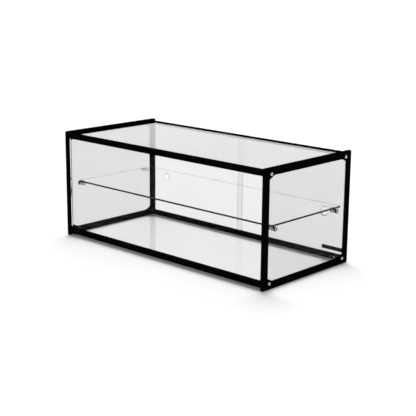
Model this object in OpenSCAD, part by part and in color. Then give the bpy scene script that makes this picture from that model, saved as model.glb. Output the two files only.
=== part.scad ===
// Tabletop glass display case.
// Two black end frames stand on the table and carry four long rails between them. Clear glass
// closes the front, top, ends and base. Two glass doors slide past each other at the rear, and
// one loose glass shelf lies on four round supports bolted through the end panes.
// X runs along the case, Y from the front to the rear, Z up. The origin is on the table, at the
// middle of the case.

/* [Case] */
// Length over the two end frames
case_l = 914; // [700:1:1200]
// Depth of the end frames, front to rear
case_d = 432; // [380:1:520]
// Height of the end frames
case_h = 376; // [340:1:460]

/* [End frames] */
// Thickness of an end frame
frame_t = 9; // [9:0.5:12]
// Width of the bars of an end frame
frame_w = 24.5; // [24:0.5:28]
// Radius of the outer corners
frame_r = 5; // [2:0.5:8]
// Length of the corner gusset along the top and bottom bars
gusset_y = 22; // [18:1:26]
// Height of the corner gusset along the posts
gusset_z = 11; // [9:1:14]
// Width of the rebate that holds the end pane
rebate_w = 5; // [3:0.5:5.5]
// Thickness of the lip in front of the end pane
lip_t = 3; // [2:0.5:3.5]

/* [Rails] */
// How far the end frames stand proud of the rails
proud = 7; // [5:0.5:8]
// Depth of all four rails
rail_d = 18; // [18:0.5:20]
// Height of the two front rails
front_rail_h = 18; // [17:0.5:20]
// Height of the two rear rails
rear_rail_h = 16; // [15:0.5:18]
// Width of the glass ledge on the inner side of each rail
ledge_w = 6; // [4:0.5:8]
// Thickness of that ledge
ledge_t = 1.5; // [1.2:0.1:1.6]

/* [Glass] */
// Thickness of the front and top glass and of the shelf
glass_t = 6; // [5:0.5:6]
// Thickness of the end panes
pane_t = 5; // [4:0.5:5]
// Thickness of the sliding doors and of the base
thin_glass_t = 4; // [4:0.1:4.4]
// Drop of the top glass below the top of the rails
top_drop = 2; // [1:0.5:3]
// Distance from the front of the rails to the front glass
front_inset = 5; // [4:0.5:6]

/* [Doors] */
// Overlap of the two closed doors
door_overlap = 28; // [20:1:50]
// Diameter of the finger holes
finger_d = 25; // [20:1:30]
// Distance from the middle of the case to the finger holes
finger_x = 366; // [300:1:380]
// Height of the finger holes
finger_z = 158; // [120:1:260]
// Clearance between a door and each wall of its lane
lane_gap = 0.8; // [0.5:0.1:0.8]

/* [Shelf] */
// Height of the top of the shelf
shelf_z = 195; // [150:1:240]
// Gap between the shelf and the end panes
shelf_end_gap = 4; // [2:0.5:6]
// Front edge of the shelf
shelf_front = -166; // [-180:1:-160]
// Rear edge of the shelf
shelf_rear = 184; // [170:1:188]
// Distance of the shelf supports from the middle of the case
support_y = 155; // [120:1:158]
// Diameter of a shelf support
support_d = 13; // [10:0.5:16]
// Length of a shelf support inside the case
support_l = 20; // [14:1:30]

/* [Fasteners] */
// Distance of the corner bolts from the front and rear of the end frames
bolt_y = 30.4; // [30:0.1:32]
// Distance of the corner bolts from the top and bottom of the end frames
bolt_z = 19; // [18.8:0.1:19.4]
// Diameter of the corner bolts
bolt_d = 5; // [4:0.5:5]
// Diameter of their button heads
bolt_head_d = 11; // [9:0.5:12]
// Diameter of the washers under the heads
washer_d = 16; // [14:0.5:16]

/* [Label] */
// Width of the blank label on the right door
label_w = 82; // [40:1:120]
// Height of the blank label
label_h = 13.5; // [8:0.5:20]
// Height of its lower edge
label_z = 32; // [28:1:60]

/* [Hidden] */
$fn = 48;
eps = 0.01;

// Fasteners
bolt_len = 21;
bolt_head_h = 3.3;
washer_t = 1;
hex_af = 4;
hex_depth = 1.8;
block_l = 22;
block_d = 13;
block_rim = 6;
block_screw_x = 17;
block_screw_d = 3;
block_screw_head_d = 6;
block_screw_head_h = 2;
block_screw_bite = 1.2;

// Shelf supports
cap_d = 16;
cap_t = 3;
stem_d = 5;
stem_hole_d = 6.4;
stem_depth = 10;
clear_washer_t = 0.5;
pad_l = 14;
pad_w = 6.5;
pad_t = 1;
flat_cut = 1;

// Glazing and tracks
tape_t = 1;
base_tape_t = 0.5;
edge_play = 0.4;
groove_d = 6;
liner_wall = 0.8;
rail_wall = 1.5;
pocket_depth = 7;
top_pocket_depth = 6.5;
door_end_gap = 1.5;
stop_t = 1.2;
label_t = 0.6;
label_end_gap = 5;

// Places worked out from the sizes above
inner_x = case_l / 2 - frame_t;
rail_front_y = -case_d / 2 + proud;
rail_low_z = proud;
rail_high_z = case_h - proud;
front_in_y = rail_front_y + rail_d;
rear_in_y = case_d / 2 - proud - rail_d;
groove_w = glass_t + 2 * tape_t;
front_glass_y = rail_front_y + front_inset;
top_glass_z = rail_high_z - top_drop - glass_t;
top_ledge_z = top_glass_z - tape_t - ledge_t;
base_glass_z = rail_low_z + ledge_t + base_tape_t;
base_top_z = base_glass_z + thin_glass_t;

lane_w = thin_glass_t + 2 * lane_gap;
liner_w = rail_d - 2 * rail_wall;
liner_y = rear_in_y + rail_wall;
inner_lane_y = liner_y + liner_wall;
outer_lane_y = liner_y + liner_w - liner_wall - lane_w;
pocket_z = rail_low_z + rear_rail_h - pocket_depth;
top_pocket_z = rail_high_z - rear_rail_h + top_pocket_depth;
door_z0 = pocket_z + liner_wall + edge_play;
door_z1 = top_pocket_z - liner_wall - 3 * edge_play;
door_end_x = inner_x - door_end_gap;
door_w = door_end_x + door_overlap / 2;

support_z = shelf_z - glass_t - pad_t + flat_cut - support_d / 2;
pane_out_x = inner_x + pane_t;
pane_tape_t = frame_t - lip_t - pane_t;

// Children are drawn for the right end (side = 1) or mirrored to the left end (side = -1).
module at_end(side) {
    if (side > 0) children();
    else mirror([1, 0, 0]) children();
}

// Stands an outline drawn in (Y, Z) up on edge, t thick, with its inner side at x.
module upright(x, t) {
    translate([x, 0, 0]) rotate([90, 0, 90]) linear_extrude(t) children();
}

// A round bar along X.
module bar_x(x, y, z, d, l) {
    translate([x, y, z]) rotate([0, 90, 0]) cylinder(d = d, h = l);
}

// A box given by its low and high corners.
module block(lo, hi) {
    translate(lo) cube([hi[0] - lo[0], hi[1] - lo[1], hi[2] - lo[2]]);
}

module rounded_outline() {
    translate([-case_d / 2, frame_r]) square([case_d, case_h - 2 * frame_r]);
    translate([-case_d / 2 + frame_r, 0]) square([case_d - 2 * frame_r, case_h]);
    for (y = [-1, 1], z = [frame_r, case_h - frame_r])
        translate([y * (case_d / 2 - frame_r), z]) circle(frame_r);
}

// The window of an end frame, widened by grow on every side, with its four gusset corners.
module window_outline(grow) {
    y = case_d / 2 - frame_w + grow;
    lo = frame_w - grow;
    hi = case_h - frame_w + grow;
    polygon([
        [-y + gusset_y, lo], [y - gusset_y, lo],
        [y, lo + gusset_z], [y, hi - gusset_z],
        [y - gusset_y, hi], [-y + gusset_y, hi],
        [-y, hi - gusset_z], [-y, lo + gusset_z]]);
}

// Children are placed at the four corner bolts of the right end frame.
module at_bolts() {
    for (y = [-1, 1], z = [bolt_z, case_h - bolt_z])
        translate([0, y * (case_d / 2 - bolt_y), z]) children();
}

module end_frame(side) {
    at_end(side) color("black") difference() {
        upright(inner_x, frame_t) rounded_outline();
        upright(inner_x - eps, frame_t + 2 * eps) window_outline(0);
        upright(inner_x - eps, frame_t - lip_t + eps) window_outline(rebate_w);
        at_bolts() bar_x(inner_x - eps, 0, 0, bolt_d, frame_t + 2 * eps);
    }
}

// Children are placed at the front and rear supports of the right end.
module at_supports() {
    for (y = [-support_y, support_y])
        translate([0, y, support_z]) children();
}

module end_pane(side) {
    at_end(side) color("lightcyan", 0.4) difference() {
        upright(inner_x, pane_t) window_outline(rebate_w - edge_play);
        at_supports() bar_x(inner_x - eps, 0, 0, stem_hole_d, pane_t + 2 * eps);
    }
}

// Black tape that beds the pane against the lip of the end frame.
module end_pane_tape(side) {
    at_end(side) color("dimgray") upright(pane_out_x, pane_tape_t) difference() {
        window_outline(rebate_w - edge_play);
        window_outline(edge_play);
    }
}

// Extrudes an outline drawn in (Y, Z) along the case, stopping gap short of each end frame.
module long_bar(gap) {
    upright(gap - inner_x, 2 * (inner_x - gap)) children();
}

// The ledge that carries the top or base glass. It stops at the corner blocks.
module ledge(y, z) {
    long_bar(block_l + edge_play) translate([y, z]) square([ledge_w, ledge_t]);
}

// Shallow holes in the inner side of a rail for the screws of its two corner blocks.
module block_screw_holes(y, z, dir) {
    for (side = [-1, 1])
        translate([side * (inner_x - block_screw_x), y - dir * eps, z])
            rotate([-90 * dir, 0, 0])
                cylinder(d = block_screw_d, h = block_screw_bite + eps);
}

module rail_front_bottom() {
    color("black") {
        difference() {
            long_bar(0) difference() {
                translate([rail_front_y, rail_low_z]) square([rail_d, front_rail_h]);
                translate([front_glass_y - tape_t, rail_low_z + front_rail_h - groove_d])
                    square([groove_w, groove_d + eps]);
            }
            block_screw_holes(front_in_y, bolt_z, -1);
        }
        ledge(front_in_y, rail_low_z);
    }
}

module rail_front_top() {
    color("black") {
        difference() {
            long_bar(0) difference() {
                translate([rail_front_y, rail_high_z - front_rail_h])
                    square([rail_d, front_rail_h]);
                translate([front_glass_y - tape_t, rail_high_z - front_rail_h - eps])
                    square([groove_w, groove_d + eps]);
            }
            block_screw_holes(front_in_y, case_h - bolt_z, -1);
        }
        ledge(front_in_y, top_ledge_z);
    }
}

module rail_rear_bottom() {
    color("black") {
        difference() {
            long_bar(0) difference() {
                translate([rear_in_y, rail_low_z]) square([rail_d, rear_rail_h]);
                translate([liner_y, pocket_z]) square([liner_w, pocket_depth + eps]);
            }
            block_screw_holes(rear_in_y, bolt_z, 1);
        }
        ledge(rear_in_y - ledge_w, rail_low_z);
    }
}

module rail_rear_top() {
    color("black") {
        difference() {
            long_bar(0) difference() {
                translate([rear_in_y, rail_high_z - rear_rail_h]) square([rail_d, rear_rail_h]);
                translate([liner_y, rail_high_z - rear_rail_h - eps])
                    square([liner_w, top_pocket_depth + eps]);
            }
            block_screw_holes(rear_in_y, case_h - bolt_z, 1);
        }
        ledge(rear_in_y - ledge_w, top_ledge_z);
    }
}

// Countersunk screw that fixes a corner block to its rail, driven from the inside, along +Y.
module block_screw() {
    rotate([-90, 0, 0]) {
        cylinder(d1 = block_screw_head_d, d2 = block_screw_d, h = block_screw_head_h);
        cylinder(d = block_screw_d, h = block_d + block_screw_bite);
    }
}

// Children are drawn for a rear corner and turned over for the front one.
module at_depth(rear) {
    if (rear) children();
    else mirror([0, 1, 0]) children();
}

// Corner block of a rear corner: the corner bolt is tapped into it along X.
module corner_block(top) {
    z = top ? case_h - bolt_z : bolt_z;
    lo_z = top ? z - block_rim : base_top_z + edge_play;
    hi_z = top ? top_glass_z - edge_play : z + block_rim;
    difference() {
        block([inner_x - block_l, rear_in_y - block_d, lo_z], [inner_x, rear_in_y, hi_z]);
        bar_x(inner_x + frame_t - bolt_len, case_d / 2 - bolt_y, z, bolt_d, bolt_len);
        translate([inner_x - block_screw_x, rear_in_y - block_d, z]) block_screw();
    }
}

module corner_blocks(side) {
    at_end(side) color("black")
        for (rear = [false, true], top = [false, true])
            at_depth(rear) corner_block(top);
}

module block_screws() {
    color("silver")
        for (side = [-1, 1], rear = [false, true], z = [bolt_z, case_h - bolt_z])
            at_end(side) at_depth(rear)
                translate([inner_x - block_screw_x, rear_in_y - block_d, z]) block_screw();
}

// Button head bolt through the end frame into the corner block, with a hex socket.
module frame_bolt() {
    head_x = case_l / 2 + washer_t;
    difference() {
        union() {
            bar_x(inner_x + frame_t - bolt_len, 0, 0, bolt_d, bolt_len + washer_t);
            translate([head_x, 0, 0]) rotate([0, 90, 0])
                cylinder(d1 = bolt_head_d, d2 = bolt_head_d * 0.6, h = bolt_head_h);
        }
        translate([head_x + bolt_head_h - hex_depth, 0, 0]) rotate([0, 90, 0])
            cylinder(d = hex_af / cos(30), h = hex_depth + eps, $fn = 6);
    }
}

module frame_bolts(side) {
    at_end(side) color("silver") at_bolts() frame_bolt();
}

module bolt_washers(side) {
    at_end(side) color("black") at_bolts() difference() {
        bar_x(case_l / 2, 0, 0, washer_d, washer_t);
        bar_x(case_l / 2 - eps, 0, 0, bolt_d, washer_t + 2 * eps);
    }
}

module front_glass() {
    lo_z = rail_low_z + front_rail_h - groove_d + tape_t;
    hi_z = rail_high_z - front_rail_h + groove_d - tape_t;
    color("lightcyan", 0.4) long_bar(edge_play)
        translate([front_glass_y, lo_z]) square([glass_t, hi_z - lo_z]);
}

// U-shaped gasket round one long edge of the front glass, drawn for the bottom rail.
module front_gasket_outline() {
    difference() {
        square([groove_w, groove_d]);
        translate([tape_t, tape_t]) square([glass_t, groove_d]);
    }
}

module front_glass_gaskets() {
    y = front_glass_y - tape_t;
    color("dimgray") long_bar(edge_play) {
        translate([y, rail_low_z + front_rail_h - groove_d]) front_gasket_outline();
        translate([y, rail_high_z - front_rail_h + groove_d]) mirror([0, 1])
            front_gasket_outline();
    }
}

// A sheet of glass that lies flat between the rails.
module flat_glass(z, t) {
    y = rear_in_y - edge_play;
    x = inner_x - edge_play;
    color("lightcyan", 0.4) block([-x, -y, z], [x, y, z + t]);
}

module top_glass() {
    flat_glass(top_glass_z, glass_t);
}

module base_glass() {
    flat_glass(base_glass_z, thin_glass_t);
}

// The two strips of tape between a flat glass and its ledges.
module flat_glass_tape(z, t) {
    y = rear_in_y - ledge_w;
    color("dimgray") long_bar(block_l + edge_play)
        for (low_y = [-y - ledge_w + edge_play, y])
            translate([low_y, z]) square([ledge_w - edge_play, t]);
}

module top_glass_tape() {
    flat_glass_tape(top_glass_z - tape_t, tape_t);
}

module base_glass_tape() {
    flat_glass_tape(base_glass_z - base_tape_t, base_tape_t);
}

// Outline of the two-lane plastic liner of a door track, depth high and open at the top.
module track_outline(depth) {
    difference() {
        translate([liner_y, 0]) square([liner_w, depth]);
        for (y = [inner_lane_y, outer_lane_y])
            translate([y, liner_wall]) square([lane_w, depth]);
    }
}

module door_track_bottom() {
    color("dimgray") long_bar(0) translate([0, pocket_z]) track_outline(pocket_depth);
}

module door_track_top() {
    color("dimgray") long_bar(0) translate([0, top_pocket_z]) mirror([0, 1])
        track_outline(top_pocket_depth);
}

// Thin bumpers in the ends of both lanes of the bottom track.
module track_stops() {
    color("black")
        for (side = [-1, 1], y = [inner_lane_y, outer_lane_y])
            at_end(side) block([inner_x - stop_t, y, pocket_z + liner_wall],
                [inner_x, y + lane_w, pocket_z + pocket_depth]);
}

// A sliding door that closes the half of the rear on its own side, in the lane at y.
module door(side, y) {
    at_end(side) color("lightcyan", 0.4) difference() {
        translate([door_end_x - door_w, y + lane_gap, door_z0])
            cube([door_w, thin_glass_t, door_z1 - door_z0]);
        translate([finger_x, y + lane_gap - eps, finger_z]) rotate([-90, 0, 0])
            cylinder(d = finger_d, h = thin_glass_t + 2 * eps);
    }
}

// Blank label, stuck to the rear face of the right door.
module label_plate() {
    face_y = outer_lane_y + lane_gap + thin_glass_t;
    x = door_end_x - label_end_gap;
    color("black") block([x - label_w, face_y, label_z], [x, face_y + label_t, label_z + label_h]);
}

// Round stud inside the pane, flat on top, tapped for the stem of the outer cap.
module shelf_studs() {
    x = inner_x - clear_washer_t - support_l;
    color("silver")
        for (side = [-1, 1])
            at_end(side) at_supports() difference() {
                bar_x(x, 0, 0, support_d, support_l);
                bar_x(x + support_l - stem_depth, 0, 0, stem_d, stem_depth + eps);
                translate([x - eps, -support_d / 2, support_d / 2 - flat_cut])
                    cube([support_l + 2 * eps, support_d, support_d]);
            }
}

// Round cap outside the pane, with the threaded stem that draws the stud against the glass.
module shelf_caps() {
    color("silver")
        for (side = [-1, 1])
            at_end(side) at_supports() {
                bar_x(pane_out_x + clear_washer_t, 0, 0, cap_d, cap_t);
                bar_x(inner_x - clear_washer_t - stem_depth, 0, 0, stem_d,
                    stem_depth + 2 * clear_washer_t + pane_t);
            }
}

// Clear washers on both faces of the pane.
module shelf_washers() {
    color("lightcyan", 0.4)
        for (side = [-1, 1], x = [inner_x - clear_washer_t, pane_out_x])
            at_end(side) at_supports() difference() {
                bar_x(x, 0, 0, support_d, clear_washer_t);
                bar_x(x - eps, 0, 0, stem_d, clear_washer_t + 2 * eps);
            }
}

// Clear pads on the flats of the studs.
module shelf_pads() {
    x = inner_x - clear_washer_t - support_l / 2;
    z = support_d / 2 - flat_cut;
    color("lightcyan", 0.4)
        for (side = [-1, 1])
            at_end(side) at_supports()
                block([x - pad_l / 2, -pad_w / 2, z], [x + pad_l / 2, pad_w / 2, z + pad_t]);
}

module shelf_glass() {
    x = inner_x - shelf_end_gap;
    color("lightcyan", 0.4)
        block([-x, shelf_front, shelf_z - glass_t], [x, shelf_rear, shelf_z]);
}

end_frame(-1);  // end_frame_left
end_frame(1);  // end_frame_right
end_pane(-1);  // end_pane_left
end_pane(1);  // end_pane_right
end_pane_tape(-1);  // end_pane_tape_left
end_pane_tape(1);  // end_pane_tape_right
rail_front_bottom();
rail_front_top();
rail_rear_bottom();
rail_rear_top();
corner_blocks(-1);  // corner_blocks_left
corner_blocks(1);  // corner_blocks_right
block_screws();
frame_bolts(-1);  // frame_bolts_left
frame_bolts(1);  // frame_bolts_right
bolt_washers(-1);  // bolt_washers_left
bolt_washers(1);  // bolt_washers_right
front_glass();
front_glass_gaskets();
top_glass();
top_glass_tape();
base_glass();
base_glass_tape();
door_track_bottom();
door_track_top();
track_stops();
door(-1, inner_lane_y);  // door_left
door(1, outer_lane_y);  // door_right
shelf_studs();
shelf_caps();
shelf_washers();
shelf_pads();
shelf_glass();
label_plate();
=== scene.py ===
import math

import bpy
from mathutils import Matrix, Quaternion, Vector


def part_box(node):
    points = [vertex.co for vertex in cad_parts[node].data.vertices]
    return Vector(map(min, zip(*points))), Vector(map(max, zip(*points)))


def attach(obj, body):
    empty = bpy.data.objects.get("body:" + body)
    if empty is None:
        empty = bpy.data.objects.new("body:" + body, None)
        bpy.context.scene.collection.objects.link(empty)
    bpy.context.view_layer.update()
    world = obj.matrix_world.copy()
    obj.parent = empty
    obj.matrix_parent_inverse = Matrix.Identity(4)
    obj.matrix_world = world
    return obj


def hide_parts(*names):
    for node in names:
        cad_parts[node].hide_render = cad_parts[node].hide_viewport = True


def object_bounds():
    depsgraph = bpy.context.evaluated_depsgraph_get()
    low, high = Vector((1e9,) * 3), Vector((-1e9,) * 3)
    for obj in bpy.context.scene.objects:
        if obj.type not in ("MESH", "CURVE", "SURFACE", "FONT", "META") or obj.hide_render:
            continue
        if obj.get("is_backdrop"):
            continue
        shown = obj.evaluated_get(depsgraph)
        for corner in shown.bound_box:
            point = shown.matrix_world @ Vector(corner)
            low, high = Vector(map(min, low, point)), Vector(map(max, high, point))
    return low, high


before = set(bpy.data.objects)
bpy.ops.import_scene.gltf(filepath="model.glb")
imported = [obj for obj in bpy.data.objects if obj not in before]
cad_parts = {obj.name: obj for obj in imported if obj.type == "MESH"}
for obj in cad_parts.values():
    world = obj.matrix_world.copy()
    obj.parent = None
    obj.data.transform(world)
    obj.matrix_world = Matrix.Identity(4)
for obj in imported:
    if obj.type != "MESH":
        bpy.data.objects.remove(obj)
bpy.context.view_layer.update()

# ---- End frames ----
# Two flat frames stand the case on the table. Each is cut in one piece from 9 mm steel plate,
# with gusseted window corners and a rebate on its inner side that takes the end pane, and is
# powder coated black.
BAR = 0.0245
CORNER_ROUND = 0.005
GUSSET_RUN = 0.022
GUSSET_RISE = 0.011
REBATE_LAP = 0.005
REBATE_DEPTH = 0.006
BOLT_IN = 0.0304
BOLT_UP = 0.019
BOLT_RADIUS = 0.0025


def take_up(piece):
    """Makes a piece the only one selected, and the active one."""
    bpy.ops.object.select_all(action="DESELECT")
    piece.select_set(True)
    bpy.context.view_layer.objects.active = piece


def set_down(name):
    """Names the primitive just added and puts its place into its mesh."""
    piece = bpy.context.object
    piece.name = piece.data.name = name
    bpy.ops.object.transform_apply(location=True, rotation=True, scale=True)
    return piece


def slab(name, low, high):
    """A square-edged block between two corners."""
    bpy.ops.object.select_all(action="DESELECT")
    low, high = Vector(low), Vector(high)
    bpy.ops.mesh.primitive_cube_add(size=1, location=(low + high) / 2, scale=high - low)
    return set_down(name)


def rod(name, start, end, radius, sides=48):
    """A round bar between two points."""
    bpy.ops.object.select_all(action="DESELECT")
    start, end = Vector(start), Vector(end)
    bpy.ops.mesh.primitive_cylinder_add(
        vertices=sides, radius=radius, depth=(end - start).length, location=(start + end) / 2,
        rotation=(end - start).to_track_quat("Z", "Y").to_euler())
    return set_down(name)


def cut(piece, tool):
    """Takes the tool's shape out of the piece."""
    take_up(piece)
    step = piece.modifiers.new("cut", "BOOLEAN")
    step.operation = "DIFFERENCE"
    step.solver = "EXACT"
    step.object = tool
    bpy.ops.object.modifier_apply(modifier=step.name)
    bpy.data.objects.remove(tool)


def smooth(piece, angle=50):
    """Smooths what turns gently and keeps every flat flat."""
    take_up(piece)
    bpy.ops.object.shade_smooth_by_angle(angle=math.radians(angle))
    step = piece.modifiers.new("flats", "WEIGHTED_NORMAL")
    step.keep_sharp = True
    bpy.ops.object.modifier_apply(modifier=step.name)


def ease(piece, width, segments=2):
    """Takes the sharpness off every edge of the piece."""
    take_up(piece)
    step = piece.modifiers.new("ease", "BEVEL")
    step.width = width
    step.segments = segments
    step.limit_method = "ANGLE"
    step.angle_limit = math.radians(30)
    bpy.ops.object.modifier_apply(modifier=step.name)
    smooth(piece)


def window_block(name, box, x_range, grow):
    """A block the shape of a frame's window, grown all round, with its four gusset corners."""
    low, high = box
    y_ends = (low.y + BAR - grow, high.y - BAR + grow)
    z_ends = (low.z + BAR - grow, high.z - BAR + grow)
    block = slab(name, (x_range[0], y_ends[0], z_ends[0]), (x_range[1], y_ends[1], z_ends[1]))
    bpy.ops.object.mode_set(mode="EDIT")
    for out_y, y in zip((-1, 1), y_ends):
        for out_z, z in zip((-1, 1), z_ends):
            bpy.ops.mesh.select_all(action="SELECT")
            bpy.ops.mesh.bisect(
                plane_co=(x_range[0], y - out_y * GUSSET_RUN, z),
                plane_no=(0, out_y * GUSSET_RISE, out_z * GUSSET_RUN),
                use_fill=True, clear_outer=True)
    bpy.ops.object.mode_set(mode="OBJECT")
    return block


def round_corners(piece, along, radius, segments=8):
    """Rounds the edges of a block that run along one axis."""
    take_up(piece)
    bpy.ops.object.mode_set(mode="EDIT")
    bpy.ops.mesh.select_mode(type="EDGE")
    bpy.ops.mesh.select_all(action="DESELECT")
    bpy.ops.object.mode_set(mode="OBJECT")
    points = piece.data.vertices
    for edge in piece.data.edges:
        run = points[edge.vertices[0]].co - points[edge.vertices[1]].co
        edge.select = abs(run[along]) > 0.99 * run.length
    bpy.ops.object.mode_set(mode="EDIT")
    bpy.ops.mesh.bevel(offset=radius, segments=segments, affect="EDGES")
    bpy.ops.object.mode_set(mode="OBJECT")


def new_finish(name):
    """An empty material with one shader, ready for its patterns."""
    material = bpy.data.materials.new(name)
    material.use_nodes = True
    nodes = material.node_tree.nodes
    nodes.clear()
    output = nodes.new("ShaderNodeOutputMaterial")
    shader = nodes.new("ShaderNodeBsdfPrincipled")
    material.node_tree.links.new(shader.outputs["BSDF"], output.inputs["Surface"])
    return material, shader


def pattern(material, scale, detail=3.0, stretch=(1, 1, 1)):
    """A cloudy pattern that runs through the piece, with scale clouds to the metre."""
    nodes, links = material.node_tree.nodes, material.node_tree.links
    place = nodes.new("ShaderNodeTexCoord")
    turn = nodes.new("ShaderNodeMapping")
    turn.inputs["Scale"].default_value = stretch
    noise = nodes.new("ShaderNodeTexNoise")
    noise.inputs["Scale"].default_value = scale
    noise.inputs["Detail"].default_value = detail
    links.new(place.outputs["Object"], turn.inputs["Vector"])
    links.new(turn.outputs["Vector"], noise.inputs["Vector"])
    return noise.outputs["Fac"]


def vary_colour(material, shader, clouds, dark, light):
    """The base colour wanders between two tones."""
    nodes, links = material.node_tree.nodes, material.node_tree.links
    ramp = nodes.new("ShaderNodeValToRGB")
    ramp.color_ramp.elements[0].position = 0.3
    ramp.color_ramp.elements[1].position = 0.7
    ramp.color_ramp.elements[0].color = (*dark, 1)
    ramp.color_ramp.elements[1].color = (*light, 1)
    links.new(clouds, ramp.inputs["Fac"])
    links.new(ramp.outputs["Color"], shader.inputs["Base Color"])


def vary_roughness(material, shader, clouds, low, high):
    """The gloss wanders between two values."""
    nodes, links = material.node_tree.nodes, material.node_tree.links
    span = nodes.new("ShaderNodeMapRange")
    span.inputs["From Min"].default_value = 0.3
    span.inputs["From Max"].default_value = 0.7
    span.inputs["To Min"].default_value = low
    span.inputs["To Max"].default_value = high
    links.new(clouds, span.inputs["Value"])
    links.new(span.outputs["Result"], shader.inputs["Roughness"])


def add_bumps(material, shader, clouds, strength, depth):
    """Small bumps on the surface, depth metres high."""
    nodes, links = material.node_tree.nodes, material.node_tree.links
    bump = nodes.new("ShaderNodeBump")
    bump.inputs["Strength"].default_value = strength
    bump.inputs["Distance"].default_value = depth
    links.new(clouds, bump.inputs["Height"])
    links.new(bump.outputs["Normal"], shader.inputs["Normal"])


def powder_coat(name):
    """Black powder coat, with the faint orange peel that it flows out to."""
    material, shader = new_finish(name)
    vary_colour(material, shader, pattern(material, 35), (0.0012,) * 3, (0.0028, 0.0028, 0.0030))
    vary_roughness(material, shader, pattern(material, 160), 0.40, 0.55)
    add_bumps(material, shader, pattern(material, 900, 2.0), 0.25, 0.00006)
    shader.inputs["Specular IOR Level"].default_value = 0.0
    return material


def fit(piece, body, slot, nodes, *materials):
    """Gives a finished piece its materials and its body, and hides the CAD nodes it stands for."""
    for material in materials:
        piece.data.materials.append(material)
    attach(piece, body)
    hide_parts(*nodes)


frame_coat = powder_coat("black_powder_coat")
for side, out in (("left", -1), ("right", 1)):
    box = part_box(f"end_frame_{side}")
    low, high = box
    inner_x = low.x if out > 0 else high.x
    plate = slab(f"{side}_end_frame", low, high)
    round_corners(plate, 0, CORNER_ROUND)
    through = (low.x - 0.001, high.x + 0.001)
    cut(plate, window_block("window_tool", box, through, 0))
    rebate = sorted((inner_x - out * 0.001, inner_x + out * REBATE_DEPTH))
    cut(plate, window_block("rebate_tool", box, rebate, REBATE_LAP))
    for y in (low.y + BOLT_IN, high.y - BOLT_IN):
        for z in (low.z + BOLT_UP, high.z - BOLT_UP):
            cut(plate, rod("bolt_hole", (through[0], y, z), (through[1], y, z), BOLT_RADIUS))
    ease(plate, 0.0005)
    fit(plate, "case", "black_frame", [f"end_frame_{side}"], frame_coat)

# ---- Long rails ----
# Four aluminium bars run between the end frames. The front pair has a groove for the front
# glass, the rear pair a wide pocket for the door tracks, and each has a thin ledge on its
# inner side for the top or base glass. They are coated like the end frames.
RAIL_DEEP = 0.018
LEDGE_WIDE = 0.006
LEDGE_THICK = 0.0015
LEDGE_SHORT = 0.0224
POCKET_WALL = 0.0015


def add_to(piece, part):
    """Joins a part to the piece as one solid."""
    take_up(piece)
    step = piece.modifiers.new("add", "BOOLEAN")
    step.operation = "UNION"
    step.solver = "EXACT"
    step.object = part
    bpy.ops.object.modifier_apply(modifier=step.name)
    bpy.data.objects.remove(part)


RAILS = (
    # name, groove from the front of the bar, groove width, groove depth, high or low
    ("front_bottom", 0.004, 0.008, 0.006, "bottom"),
    ("front_top", 0.004, 0.008, 0.006, "top"),
    ("rear_bottom", POCKET_WALL, RAIL_DEEP - 2 * POCKET_WALL, 0.007, "bottom"),
    ("rear_top", POCKET_WALL, RAIL_DEEP - 2 * POCKET_WALL, 0.0065, "top"),
)
for name, groove_in, groove_wide, groove_deep, level in RAILS:
    low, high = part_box(f"rail_{name}")
    front = name.startswith("front")
    bar_y = (low.y, low.y + RAIL_DEEP) if front else (high.y - RAIL_DEEP, high.y)
    bar = slab(f"{name}_rail", (low.x, bar_y[0], low.z), (high.x, bar_y[1], high.z))
    groove_y = (bar_y[0] + groove_in, bar_y[0] + groove_in + groove_wide)
    if level == "bottom":
        groove_z = (high.z - groove_deep, high.z + 0.001)
        ledge_z = (low.z, low.z + LEDGE_THICK)
    else:
        groove_z = (low.z - 0.001, low.z + groove_deep)
        ledge_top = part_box("top_glass_tape")[0].z
        ledge_z = (ledge_top - LEDGE_THICK, ledge_top)
    cut(bar, slab("groove_tool", (low.x - 0.001, groove_y[0], groove_z[0]),
                  (high.x + 0.001, groove_y[1], groove_z[1])))
    ease(bar, 0.0005)
    ledge_y = ((high.y - LEDGE_WIDE - 0.001, high.y) if front
               else (low.y, low.y + LEDGE_WIDE + 0.001))
    add_to(bar, slab("ledge", (low.x + LEDGE_SHORT, ledge_y[0], ledge_z[0]),
                     (high.x - LEDGE_SHORT, ledge_y[1], ledge_z[1])))
    smooth(bar)
    fit(bar, "case", "black_frame", [f"rail_{name}"], frame_coat)

# ---- Corner blocks and their screws ----
# A black nylon block fills each inner corner behind the rails. A countersunk screw fixes it to
# its rail, and the corner bolt is tapped into its end.
BLOCK_DEEP = 0.013
BLOCK_RIM = 0.006
SCREW_IN = 0.017
SCREW_SHANK = 0.0122
SCREW_HEAD_RADIUS = 0.003
SCREW_RADIUS = 0.0015
SCREW_HEAD_DEEP = 0.002


def moulded_black(name, roughness, peel):
    """Black moulded plastic or rubber, dull, with a fine moulded grain."""
    material, shader = new_finish(name)
    vary_colour(material, shader, pattern(material, 60), (0.0018,) * 3, (0.0040, 0.0040, 0.0043))
    vary_roughness(material, shader, pattern(material, 240), roughness - 0.08, roughness + 0.06)
    add_bumps(material, shader, pattern(material, 1600, 2.0), peel, 0.00005)
    shader.inputs["Specular IOR Level"].default_value = 0.0
    return material


def bright_metal(name, tone, roughness, stretch):
    """Plated or polished metal with fine lines left by the polishing."""
    material, shader = new_finish(name)
    lines = pattern(material, 900, 4.0, stretch)
    dark = tuple(0.86 * c for c in tone)
    vary_colour(material, shader, lines, dark, tone)
    vary_roughness(material, shader, lines, 0.7 * roughness, 1.3 * roughness)
    add_bumps(material, shader, lines, 0.12, 0.00002)
    shader.inputs["Metallic"].default_value = 1.0
    return material


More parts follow.
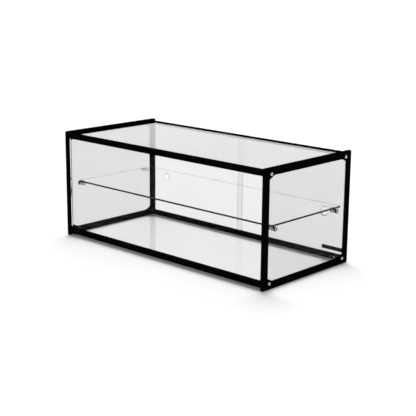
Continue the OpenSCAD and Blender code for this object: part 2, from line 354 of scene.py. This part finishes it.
def turned(name, start, steps, sides=48):
    """A turned piece along +X: each step goes on by some metres and ends at a radius."""
    bpy.ops.object.select_all(action="DESELECT")
    radius = steps[0][1]
    bpy.ops.mesh.primitive_circle_add(
        vertices=sides, radius=radius, fill_type="NGON", location=start,
        rotation=(0, math.radians(90), 0))
    piece = set_down(name)
    bpy.ops.object.mode_set(mode="EDIT")
    bpy.ops.mesh.select_all(action="SELECT")
    centre = Vector(start)
    for advance, new_radius in steps[1:]:
        bpy.ops.mesh.extrude_region_move(TRANSFORM_OT_translate={"value": (advance, 0, 0)})
        centre.x += advance
        grow = new_radius / radius
        bpy.ops.transform.resize(value=(grow, grow, grow), center_override=centre)
        radius = new_radius
    bpy.ops.mesh.select_all(action="SELECT")
    bpy.ops.mesh.normals_make_consistent(inside=False)
    bpy.ops.object.mode_set(mode="OBJECT")
    return piece


def copy_to(master, name, place, turn_z=0.0):
    """A copy with a mesh of its own, turned about Z and moved, with its place in its mesh."""
    copy = master.copy()
    copy.data = master.data.copy()
    copy.name = copy.data.name = name
    bpy.context.collection.objects.link(copy)
    copy.location = place
    copy.rotation_euler = (0, 0, math.radians(turn_z))
    take_up(copy)
    bpy.ops.object.transform_apply(location=True, rotation=True, scale=True)
    return copy


block_black = moulded_black("black_nylon_block", 0.5, 0.3)
screw_steel = bright_metal("plated_screw", (0.62, 0.62, 0.63), 0.22, (1, 1, 1))
screw = turned("screw_master", (0, 0, 0), [
    (0, SCREW_RADIUS), (SCREW_SHANK, SCREW_RADIUS), (SCREW_HEAD_DEEP - 0.0002, 0.0028),
    (0.0002, SCREW_HEAD_RADIUS - 0.0003)], 32)
head_x = SCREW_SHANK + SCREW_HEAD_DEEP
for turn in (0, 1):
    half = (0.0009, 0.00025, 0.0019) if turn else (0.0009, 0.0019, 0.00025)
    cut(screw, slab("cross_tool", (head_x - half[0], -half[1], -half[2]),
                    (head_x + 0.001, half[1], half[2])))
smooth(screw, 35)
for side, out in (("left", -1), ("right", 1)):
    low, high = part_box(f"corner_blocks_{side}")
    inner_x = high.x if out > 0 else low.x
    screw_x = inner_x - out * SCREW_IN
    for level in ("bottom", "top"):
        screw_z = BOLT_UP if level == "bottom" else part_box("end_frame_left")[1].z - BOLT_UP
        tall = (low.z, BOLT_UP + BLOCK_RIM) if level == "bottom" else (screw_z - BLOCK_RIM, high.z)
        for depth, back in (("front", -1), ("rear", 1)):
            face_y = back * (high.y - BLOCK_DEEP)
            rail_y = back * high.y
            name = f"{depth}_{level}_{side}"
            block = slab(f"corner_block_{name}", (low.x, min(face_y, rail_y), tall[0]),
                         (high.x, max(face_y, rail_y), tall[1]))
            ease(block, 0.0006)
            bpy.ops.object.select_all(action="DESELECT")
            bpy.ops.mesh.primitive_cone_add(
                vertices=32, radius1=SCREW_RADIUS, radius2=SCREW_HEAD_RADIUS + 0.0001,
                depth=SCREW_HEAD_DEEP + 0.0001, location=(screw_x, face_y + back * 0.00095, screw_z),
                rotation=(math.radians(90 * back), 0, 0))
            cut(block, set_down("countersink"))
            cut(block, rod("screw_hole", (screw_x, face_y, screw_z),
                           (screw_x, rail_y + back * 0.001, screw_z), SCREW_RADIUS + 0.0001, 32))
            smooth(block)
            fit(block, "case", "black_plastic", [f"corner_blocks_{side}"], block_black)
            fixing = copy_to(screw, f"block_screw_{name}",
                             (screw_x, face_y + back * head_x, screw_z), -90 * back)
            fit(fixing, "case", "steel", ["block_screws"], screw_steel)
bpy.data.objects.remove(screw)

# ---- Corner bolts and washers ----
# Eight stainless button head bolts hold the end frames to the corner blocks. Each has a hex
# socket and sits on a black washer.
BOLT_LONG = 0.021
BOLT_RISE = 0.0043
BOLT_HEAD_RADIUS = 0.0055
SOCKET_RADIUS = 0.0023
SOCKET_DEEP = 0.0018
WASHER_RADIUS = 0.008
WASHER_THICK = 0.001


def darken(piece, rings, x_range=(-1, 1)):
    """Gives the second material to the faces in some rings round the piece's own X axis."""
    for face in piece.data.polygons:
        reach = math.hypot(face.center.y, face.center.z)
        in_ring = any(inner < reach < outer for inner, outer in rings)
        if in_ring and x_range[0] < face.center.x < x_range[1]:
            face.material_index = 1


bolt_steel = bright_metal("polished_bolt_steel", (0.66, 0.66, 0.67), 0.18, (1, 1, 1))
# Near-black for the inside of each hex socket: painted shade in the recess.
socket_painted_shade = moulded_black("painted_shade_socket", 0.5, 0.1)
washer_black = moulded_black("black_washer", 0.45, 0.15)
bolt = turned("bolt_master", (-BOLT_LONG, 0, 0), [
    (0, 0.0023), (0.0004, BOLT_RADIUS), (0.0216, BOLT_RADIUS), (0, BOLT_HEAD_RADIUS - 0.0003),
    (0.0003, BOLT_HEAD_RADIUS), (0.0005, BOLT_HEAD_RADIUS), (0.0008, 0.0051), (0.0008, 0.0043),
    (0.0006, 0.0034), (0.0003, 0.0028)], 64)
cut(bolt, rod("socket_tool", (BOLT_RISE - SOCKET_DEEP, 0, 0), (BOLT_RISE + 0.001, 0, 0),
              SOCKET_RADIUS, 6))
smooth(bolt, 40)
# The faces inside the hex socket take the near-black second material, as painted shade.
darken(bolt, [(0, SOCKET_RADIUS)], (0.001, BOLT_RISE - 0.0001))
washer = turned("washer_master", (0, 0, 0), [
    (0, WASHER_RADIUS - 0.0002), (0.0002, WASHER_RADIUS), (WASHER_THICK - 0.0005, WASHER_RADIUS),
    (0.0003, WASHER_RADIUS - 0.0003)], 64)
cut(washer, rod("washer_hole", (-0.001, 0, 0), (0.002, 0, 0), BOLT_RADIUS + 0.0001, 48))
smooth(washer, 40)
for side, out in (("left", -1), ("right", 1)):
    low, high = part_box(f"end_frame_{side}")
    seat_x = high.x if out > 0 else low.x
    for level, z in (("bottom", low.z + BOLT_UP), ("top", high.z - BOLT_UP)):
        for depth, y in (("front", low.y + BOLT_IN), ("rear", high.y - BOLT_IN)):
            name = f"{depth}_{level}_{side}"
            turn = 0 if out > 0 else 180
            made = copy_to(bolt, f"corner_bolt_{name}", (seat_x, y, z), turn)
            fit(made, "case", "steel", [f"frame_bolts_{side}"], bolt_steel, socket_painted_shade)
            made = copy_to(washer, f"bolt_washer_{name}", (seat_x, y, z), turn)
            fit(made, "case", "black_plastic", [f"bolt_washers_{side}"], washer_black)
bpy.data.objects.remove(bolt)
bpy.data.objects.remove(washer)

# ---- End panes ----
# A 5 mm pane of toughened glass lies in the rebate of each end frame, bedded on black tape
# against the lip. Two holes near its middle take the shelf supports.
SNUG = 0.00005
SUPPORT_RADIUS = 0.0065
STEM_HOLE_RADIUS = 0.0032


def let_light_by(material, shader, colour):
    """Lets lamps and bounced light straight through the glass, without bending."""
    nodes, links = material.node_tree.nodes, material.node_tree.links
    path = nodes.new("ShaderNodeLightPath")
    either = nodes.new("ShaderNodeMath")
    either.operation = "MAXIMUM"
    clear = nodes.new("ShaderNodeBsdfTransparent")
    clear.inputs["Color"].default_value = (*colour, 1)
    mix = nodes.new("ShaderNodeMixShader")
    links.new(path.outputs["Is Shadow Ray"], either.inputs[0])
    links.new(path.outputs["Is Diffuse Ray"], either.inputs[1])
    links.new(either.outputs["Value"], mix.inputs["Fac"])
    links.new(shader.outputs["BSDF"], mix.inputs[1])
    links.new(clear.outputs["BSDF"], mix.inputs[2])
    output = next(n for n in nodes if n.type == "OUTPUT_MATERIAL")
    links.new(mix.outputs["Shader"], output.inputs["Surface"])


def pane_glass(name, tint, shine=0.1, bend=1.12):
    """Clear glass that passes tint of the light, with the faint marks of handling. Shine scales
    how much it mirrors, and bend is its index of refraction."""
    material, shader = new_finish(name)
    light = (tint, tint, tint)
    dark = (0.988 * tint, 0.992 * tint, 0.991 * tint)
    vary_colour(material, shader, pattern(material, 7, 2.0), dark, light)
    vary_roughness(material, shader, pattern(material, 12, 4.0), 0.0, 0.012)
    shader.inputs["Transmission Weight"].default_value = 1.0
    shader.inputs["Specular Tint"].default_value = (shine, shine, shine, 1)
    shader.inputs["IOR"].default_value = bend
    let_light_by(material, shader, (0.99, 0.99, 0.99))
    return material


def edge_glass(name, tint):
    """The edge of a pane, polished clear at a high tint; a low tint paints its dark look in, as
    painted shade.
    """
    material, shader = new_finish(name)
    dark = (0.7 * tint, 0.78 * tint, 0.76 * tint)
    vary_colour(material, shader, pattern(material, 90, 3.0), dark, (tint, tint, tint))
    vary_roughness(material, shader, pattern(material, 300, 3.0), 0.04, 0.14)
    shader.inputs["Transmission Weight"].default_value = 1.0
    shader.inputs["Specular Tint"].default_value = (0.1, 0.1, 0.1, 1)
    shader.inputs["IOR"].default_value = 1.5
    let_light_by(material, shader, (0.8, 0.8, 0.8))
    return material


def edge_faces(piece, across):
    """Gives the second material to every face that isn't one of the pane's two flats."""
    for face in piece.data.polygons:
        if abs(face.normal[across]) < 0.99:
            face.material_index = 1


def repaint(node, material):
    """A CAD node whose shape is right keeps it and takes a better material."""
    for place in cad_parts[node].material_slots:
        place.material = material


# A near-black tint on the front pane's and the shelf's edges, as painted shade for the dark a
# polished edge shows.
painted_dark_edge = edge_glass("painted_dark_glass_edge", 0.02)
light_edge = edge_glass("light_glass_edge", 0.95)
# Opaque near-black laid on glass edges as painted shade, for the dark they show in black grooves and
# round the finger holes.
painted_shade_edge = moulded_black("painted_shade_glass_edge", 0.5, 0.1)
end_glass = pane_glass("end_pane_glass", 0.76)
tape_black = moulded_black("black_glazing_tape", 0.8, 0.35)
stud_low, stud_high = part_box("shelf_studs")
support_z = stud_low.z + SUPPORT_RADIUS
support_y = (stud_low.y + SUPPORT_RADIUS, stud_high.y - SUPPORT_RADIUS)
for side in ("left", "right"):
    pane_low, pane_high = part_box(f"end_pane_{side}")
    frame_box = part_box(f"end_frame_{side}")
    lap = pane_high.y - (frame_box[1].y - BAR) - SNUG
    pane = window_block(f"{side}_end_pane", frame_box, (pane_low.x + SNUG, pane_high.x - SNUG), lap)
    for y in support_y:
        cut(pane, rod("stem_hole", (pane_low.x - 0.001, y, support_z),
                      (pane_high.x + 0.001, y, support_z), STEM_HOLE_RADIUS))
    ease(pane, 0.0004)
    fit(pane, "case", "clear_glass", [f"end_pane_{side}"], end_glass, painted_shade_edge)
    # The pane's edges and stem holes are painted black, as painted shade between the pane and its
    # frame.
    edge_faces(pane, 0)
    repaint(f"end_pane_tape_{side}", tape_black)

# ---- Front, top and base glass ----
# A 6 mm front pane stands in black gaskets in the grooves of the front rails. A 6 mm top and a
# 4 mm base lie on tape on the rails' ledges. Their ground edges sit in black and are painted
# near-black, as painted shade.
SHEETS = (
    # piece, node, flats across, tint, shine, bend, edge
    ("front_pane", "front_glass", 1, 0.89, 0.1, 1.12, painted_dark_edge),
    ("top_pane", "top_glass", 2, 0.60, 0.30, 1.42, painted_shade_edge),
    ("base_pane", "base_glass", 2, 0.965, 0.1, 1.12, painted_shade_edge),
)
GAP = Vector((SNUG, SNUG, SNUG))
for name, node, across, tint, shine, bend, rim in SHEETS:
    low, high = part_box(node)
    sheet = slab(name, low + GAP, high - GAP)
    ease(sheet, 0.0005)
    glass = pane_glass(f"{name}_glass", tint, shine, bend)
    fit(sheet, "case", "clear_glass", [node], glass, rim)
    edge_faces(sheet, across)
for node in ("front_glass_gaskets", "top_glass_tape", "base_glass_tape"):
    repaint(node, tape_black)

# ---- Door tracks and stops ----
# Black extruded plastic tracks with two lanes line the pockets of the rear rails. A small stop
# closes each end of the bottom lanes.
track_black = moulded_black("black_track_plastic", 0.5, 0.2)
for node in ("door_track_bottom", "door_track_top", "track_stops"):
    repaint(node, track_black)

# ---- Sliding doors ----
# Two 4 mm glass doors slide past each other at the rear, each in its own lane. Each has a
# round, chamfered finger hole near its outer end, and its inner edge is polished clear.
FINGER_RADIUS = 0.0125
FINGER_X = 0.366
FINGER_Z = 0.158
CHAMFER = 0.0015
OVERRUN = 0.001
door_glass = pane_glass("door_pane_glass", 0.88)
low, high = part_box("door_left")
flare = FINGER_RADIUS + CHAMFER + OVERRUN
finger_tool = turned("finger_master", (-OVERRUN, 0, 0), [
    (0, flare), (OVERRUN + CHAMFER, FINGER_RADIUS),
    (high.y - low.y - 2 * CHAMFER, FINGER_RADIUS), (OVERRUN + CHAMFER, flare)], 96)
for side, out in (("left", -1), ("right", 1)):
    node = f"door_{side}"
    low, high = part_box(node)
    door = slab(f"{side}_door", low, high)
    cut(door, copy_to(finger_tool, "finger_tool", (out * FINGER_X, low.y, FINGER_Z), 90))
    ease(door, 0.0003)
    fit(door, node, "clear_glass", [node], door_glass, light_edge, painted_shade_edge)
    edge_faces(door, 1)
    # Every edge face but the inner edge, finger hole walls included, takes the near-black third
    # material, as painted shade.
    for face in door.data.polygons:
        if face.material_index and face.normal.x * out > -0.5:
            face.material_index = 2
bpy.data.objects.remove(finger_tool)

# ---- Label ----
# A thin black plate is stuck low on the rear face of the right door, near its outer end. It
# carries nothing.
low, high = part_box("label_plate")
label = slab("blank_label", (low.x, low.y + SNUG, low.z), high)
round_corners(label, 1, 0.001, 4)
ease(label, 0.00015)
fit(label, "door_right", "black_plastic", ["label_plate"], moulded_black("black_label", 0.35, 0.1))

# ---- Shelf ----
# One loose 6 mm glass shelf lies on the four supports. Its eased edges are painted near-black, as
# painted shade.
low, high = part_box("shelf_glass")
shelf = slab("glass_shelf", low + GAP, high - GAP)
ease(shelf, 0.0009, 3)
shelf_glass = pane_glass("shelf_pane_glass", 0.99, 1.0, 1.5)
fit(shelf, "shelf", "clear_glass", ["shelf_glass"], shelf_glass, painted_dark_edge)
edge_faces(shelf, 2)

# ---- Shelf supports ----
# Each support is a chrome stud inside the pane and a chrome cap outside it, drawn together by a
# threaded stem through the pane, with rubber washers between. The stud's grooves and the cap's
# centre recess are painted black as painted shade, and the cap's rim is painted black too. A rubber
# pad lies on the stud's flat, under the shelf.
STEM_RADIUS = 0.0025
STEM_DEEP = 0.010
PAD_LONG = 0.014
PAD_WIDE = 0.0065
CAP_RADIUS = 0.008
CAP_THICK = 0.003
GROOVE_RADIUS = SUPPORT_RADIUS - 0.0006
chrome = bright_metal("bright_chrome", (0.60, 0.60, 0.61), 0.10, (0.2, 1, 1))
# Near-black for the stud's grooves and the cap's centre recess, as painted shade, and for the cap's
# rim.
dark_ring_paint = moulded_black("painted_dark_rings", 0.5, 0.1)
pad_rubber = moulded_black("black_pad_rubber", 0.6, 0.3)
stud = turned("stud_master", (-0.020, 0, 0), [
    (0, SUPPORT_RADIUS - 0.0008), (0.0008, SUPPORT_RADIUS), (0.0032, SUPPORT_RADIUS),
    (0.0003, GROOVE_RADIUS), (0.0019, GROOVE_RADIUS), (0.0003, SUPPORT_RADIUS),
    (0.0070, SUPPORT_RADIUS), (0.0003, GROOVE_RADIUS), (0.0019, GROOVE_RADIUS),
    (0.0003, SUPPORT_RADIUS), (0.0037, SUPPORT_RADIUS),
    (0.0003, SUPPORT_RADIUS - 0.0003)], 64)
cut(stud, rod("stem_tool", (-STEM_DEEP, 0, 0), (0.001, 0, 0), STEM_RADIUS))
flat_z = stud_high.z - support_z
cut(stud, slab("flat_tool", (-0.021, -0.01, flat_z), (0.001, 0.01, 0.01)))
smooth(stud, 35)
# The groove faces take the near-black second material, as painted shade.
darken(stud, [(GROOVE_RADIUS - 0.0008, GROOVE_RADIUS + 0.0004)])
cap_low, cap_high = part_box("shelf_caps")
cap_in = cap_high.x - CAP_THICK
cap = turned("cap_master", (stud_high.x - STEM_DEEP - cap_in, 0, 0), [
    (0, STEM_RADIUS - 0.0003), (0.0003, STEM_RADIUS),
    (cap_in - stud_high.x + STEM_DEEP - 0.0003, STEM_RADIUS), (0, CAP_RADIUS - 0.0003),
    (0.0003, CAP_RADIUS), (CAP_THICK - 0.0013, CAP_RADIUS), (0.0006, CAP_RADIUS - 0.0003),
    (0.0004, CAP_RADIUS - 0.0011), (0, 0.0035), (-0.0006, 0.0030)], 64)
smooth(cap, 35)
# The centre recess takes the near-black second material as painted shade; the rim takes it too.
darken(cap, [(0, 0.0034), (CAP_RADIUS - 0.0010, CAP_RADIUS + 0.0001)])
pad_low, pad_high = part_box("shelf_pads")
for side, out in (("left", -1), ("right", 1)):
    turn = 0 if out > 0 else 180
    for depth, y in zip(("front", "rear"), support_y):
        name = f"{depth}_{side}"
        made = copy_to(stud, f"shelf_stud_{name}", (out * stud_high.x, y, support_z), turn)
        fit(made, "case", "chrome", ["shelf_studs"], chrome, dark_ring_paint)
        made = copy_to(cap, f"shelf_cap_{name}", (out * cap_in, y, support_z), turn)
        fit(made, "case", "chrome", ["shelf_caps"], chrome, dark_ring_paint)
        reach = sorted((out * (pad_high.x - PAD_LONG), out * pad_high.x))
        pad = slab(f"shelf_pad_{name}", (reach[0], y - PAD_WIDE / 2, pad_low.z + SNUG),
                   (reach[1], y + PAD_WIDE / 2, pad_high.z))
        ease(pad, 0.0002)
        fit(pad, "case", "black_rubber", ["shelf_pads"], pad_rubber)
bpy.data.objects.remove(stud)
bpy.data.objects.remove(cap)
repaint("shelf_washers", pad_rubber)

# ---- Camera ----
# A long lens at the front right corner, a little above the case and turned a touch clockwise.
AIM = Vector((-0.0063, 0.0394, 0.1329))
AZIMUTH = math.radians(43.01)
ELEVATION = math.radians(13.99)
DISTANCE = 3.460
ROLL = math.radians(0.481)
back = Vector((math.sin(AZIMUTH) * math.cos(ELEVATION),
               -math.cos(AZIMUTH) * math.cos(ELEVATION), math.sin(ELEVATION)))
lens = bpy.data.cameras.new("studio_camera")
lens.lens = 86.80
lens.sensor_width = 36
camera = bpy.data.objects.new("studio_camera", lens)
bpy.context.collection.objects.link(camera)
camera.rotation_mode = "QUATERNION"
camera.location = AIM + back * DISTANCE
camera.rotation_quaternion = (-back).to_track_quat("-Z", "Y")
camera.rotation_quaternion = camera.rotation_quaternion @ Quaternion((0, 0, 1), ROLL)
bpy.context.scene.camera = camera

# ---- Studio ----
# A seamless white floor inside a soft dome, with one large soft lamp high up behind the left
# end, so that the shadows fall short and to the front.
FLOOR_SIZE = 120.0
FLOOR_DROP = 0.0003
LIGHT_FROM = Vector((-1.4, 1.8, 3.0))
bpy.ops.object.select_all(action="DESELECT")
bpy.ops.mesh.primitive_plane_add(size=FLOOR_SIZE, location=(0, 0, -FLOOR_DROP))
floor = set_down("studio_floor")
paper, paper_shader = new_finish("white_paper_floor")
vary_colour(paper, paper_shader, pattern(paper, 2.0), (0.90,) * 3, (0.92,) * 3)
vary_roughness(paper, paper_shader, pattern(paper, 30), 0.85, 0.95)
paper_shader.inputs["Specular IOR Level"].default_value = 0.1
floor.data.materials.append(paper)
floor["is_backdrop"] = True

world = bpy.data.worlds.new("studio_dome")
bpy.context.scene.world = world
world.use_nodes = True
sky, wires = world.node_tree.nodes, world.node_tree.links
sky.clear()
sky_out = sky.new("ShaderNodeOutputWorld")
glow = sky.new("ShaderNodeBackground")
height = sky.new("ShaderNodeSeparateXYZ")
shade = sky.new("ShaderNodeValToRGB")
wires.new(sky.new("ShaderNodeTexCoord").outputs["Generated"], height.inputs["Vector"])
wires.new(height.outputs["Z"], shade.inputs["Fac"])
wires.new(shade.outputs["Color"], glow.inputs["Color"])
wires.new(glow.outputs["Background"], sky_out.inputs["Surface"])
shade.color_ramp.elements[0].color = (1.15, 1.15, 1.15, 1)
shade.color_ramp.elements[0].position = 0.25
shade.color_ramp.elements[1].color = (0.25, 0.25, 0.25, 1)
shade.color_ramp.elements[1].position = 0.6
glow.inputs["Strength"].default_value = 1.0
lamp = bpy.data.lights.new("soft_lamp", "SUN")
lamp.angle = math.radians(52)
lamp.energy = 3.15
lamp_stand = bpy.data.objects.new("soft_lamp", lamp)
bpy.context.collection.objects.link(lamp_stand)
lamp_stand.rotation_mode = "QUATERNION"
lamp_stand.rotation_quaternion = LIGHT_FROM.to_track_quat("Z", "Y")

scene = bpy.context.scene
scene.view_settings.view_transform = "Standard"
scene.cycles.max_bounces = 32
scene.cycles.transmission_bounces = 32
scene.cycles.glossy_bounces = 16
scene.cycles.transparent_max_bounces = 32

# ---- Sizes ----
# The box round the finished object.
low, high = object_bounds()
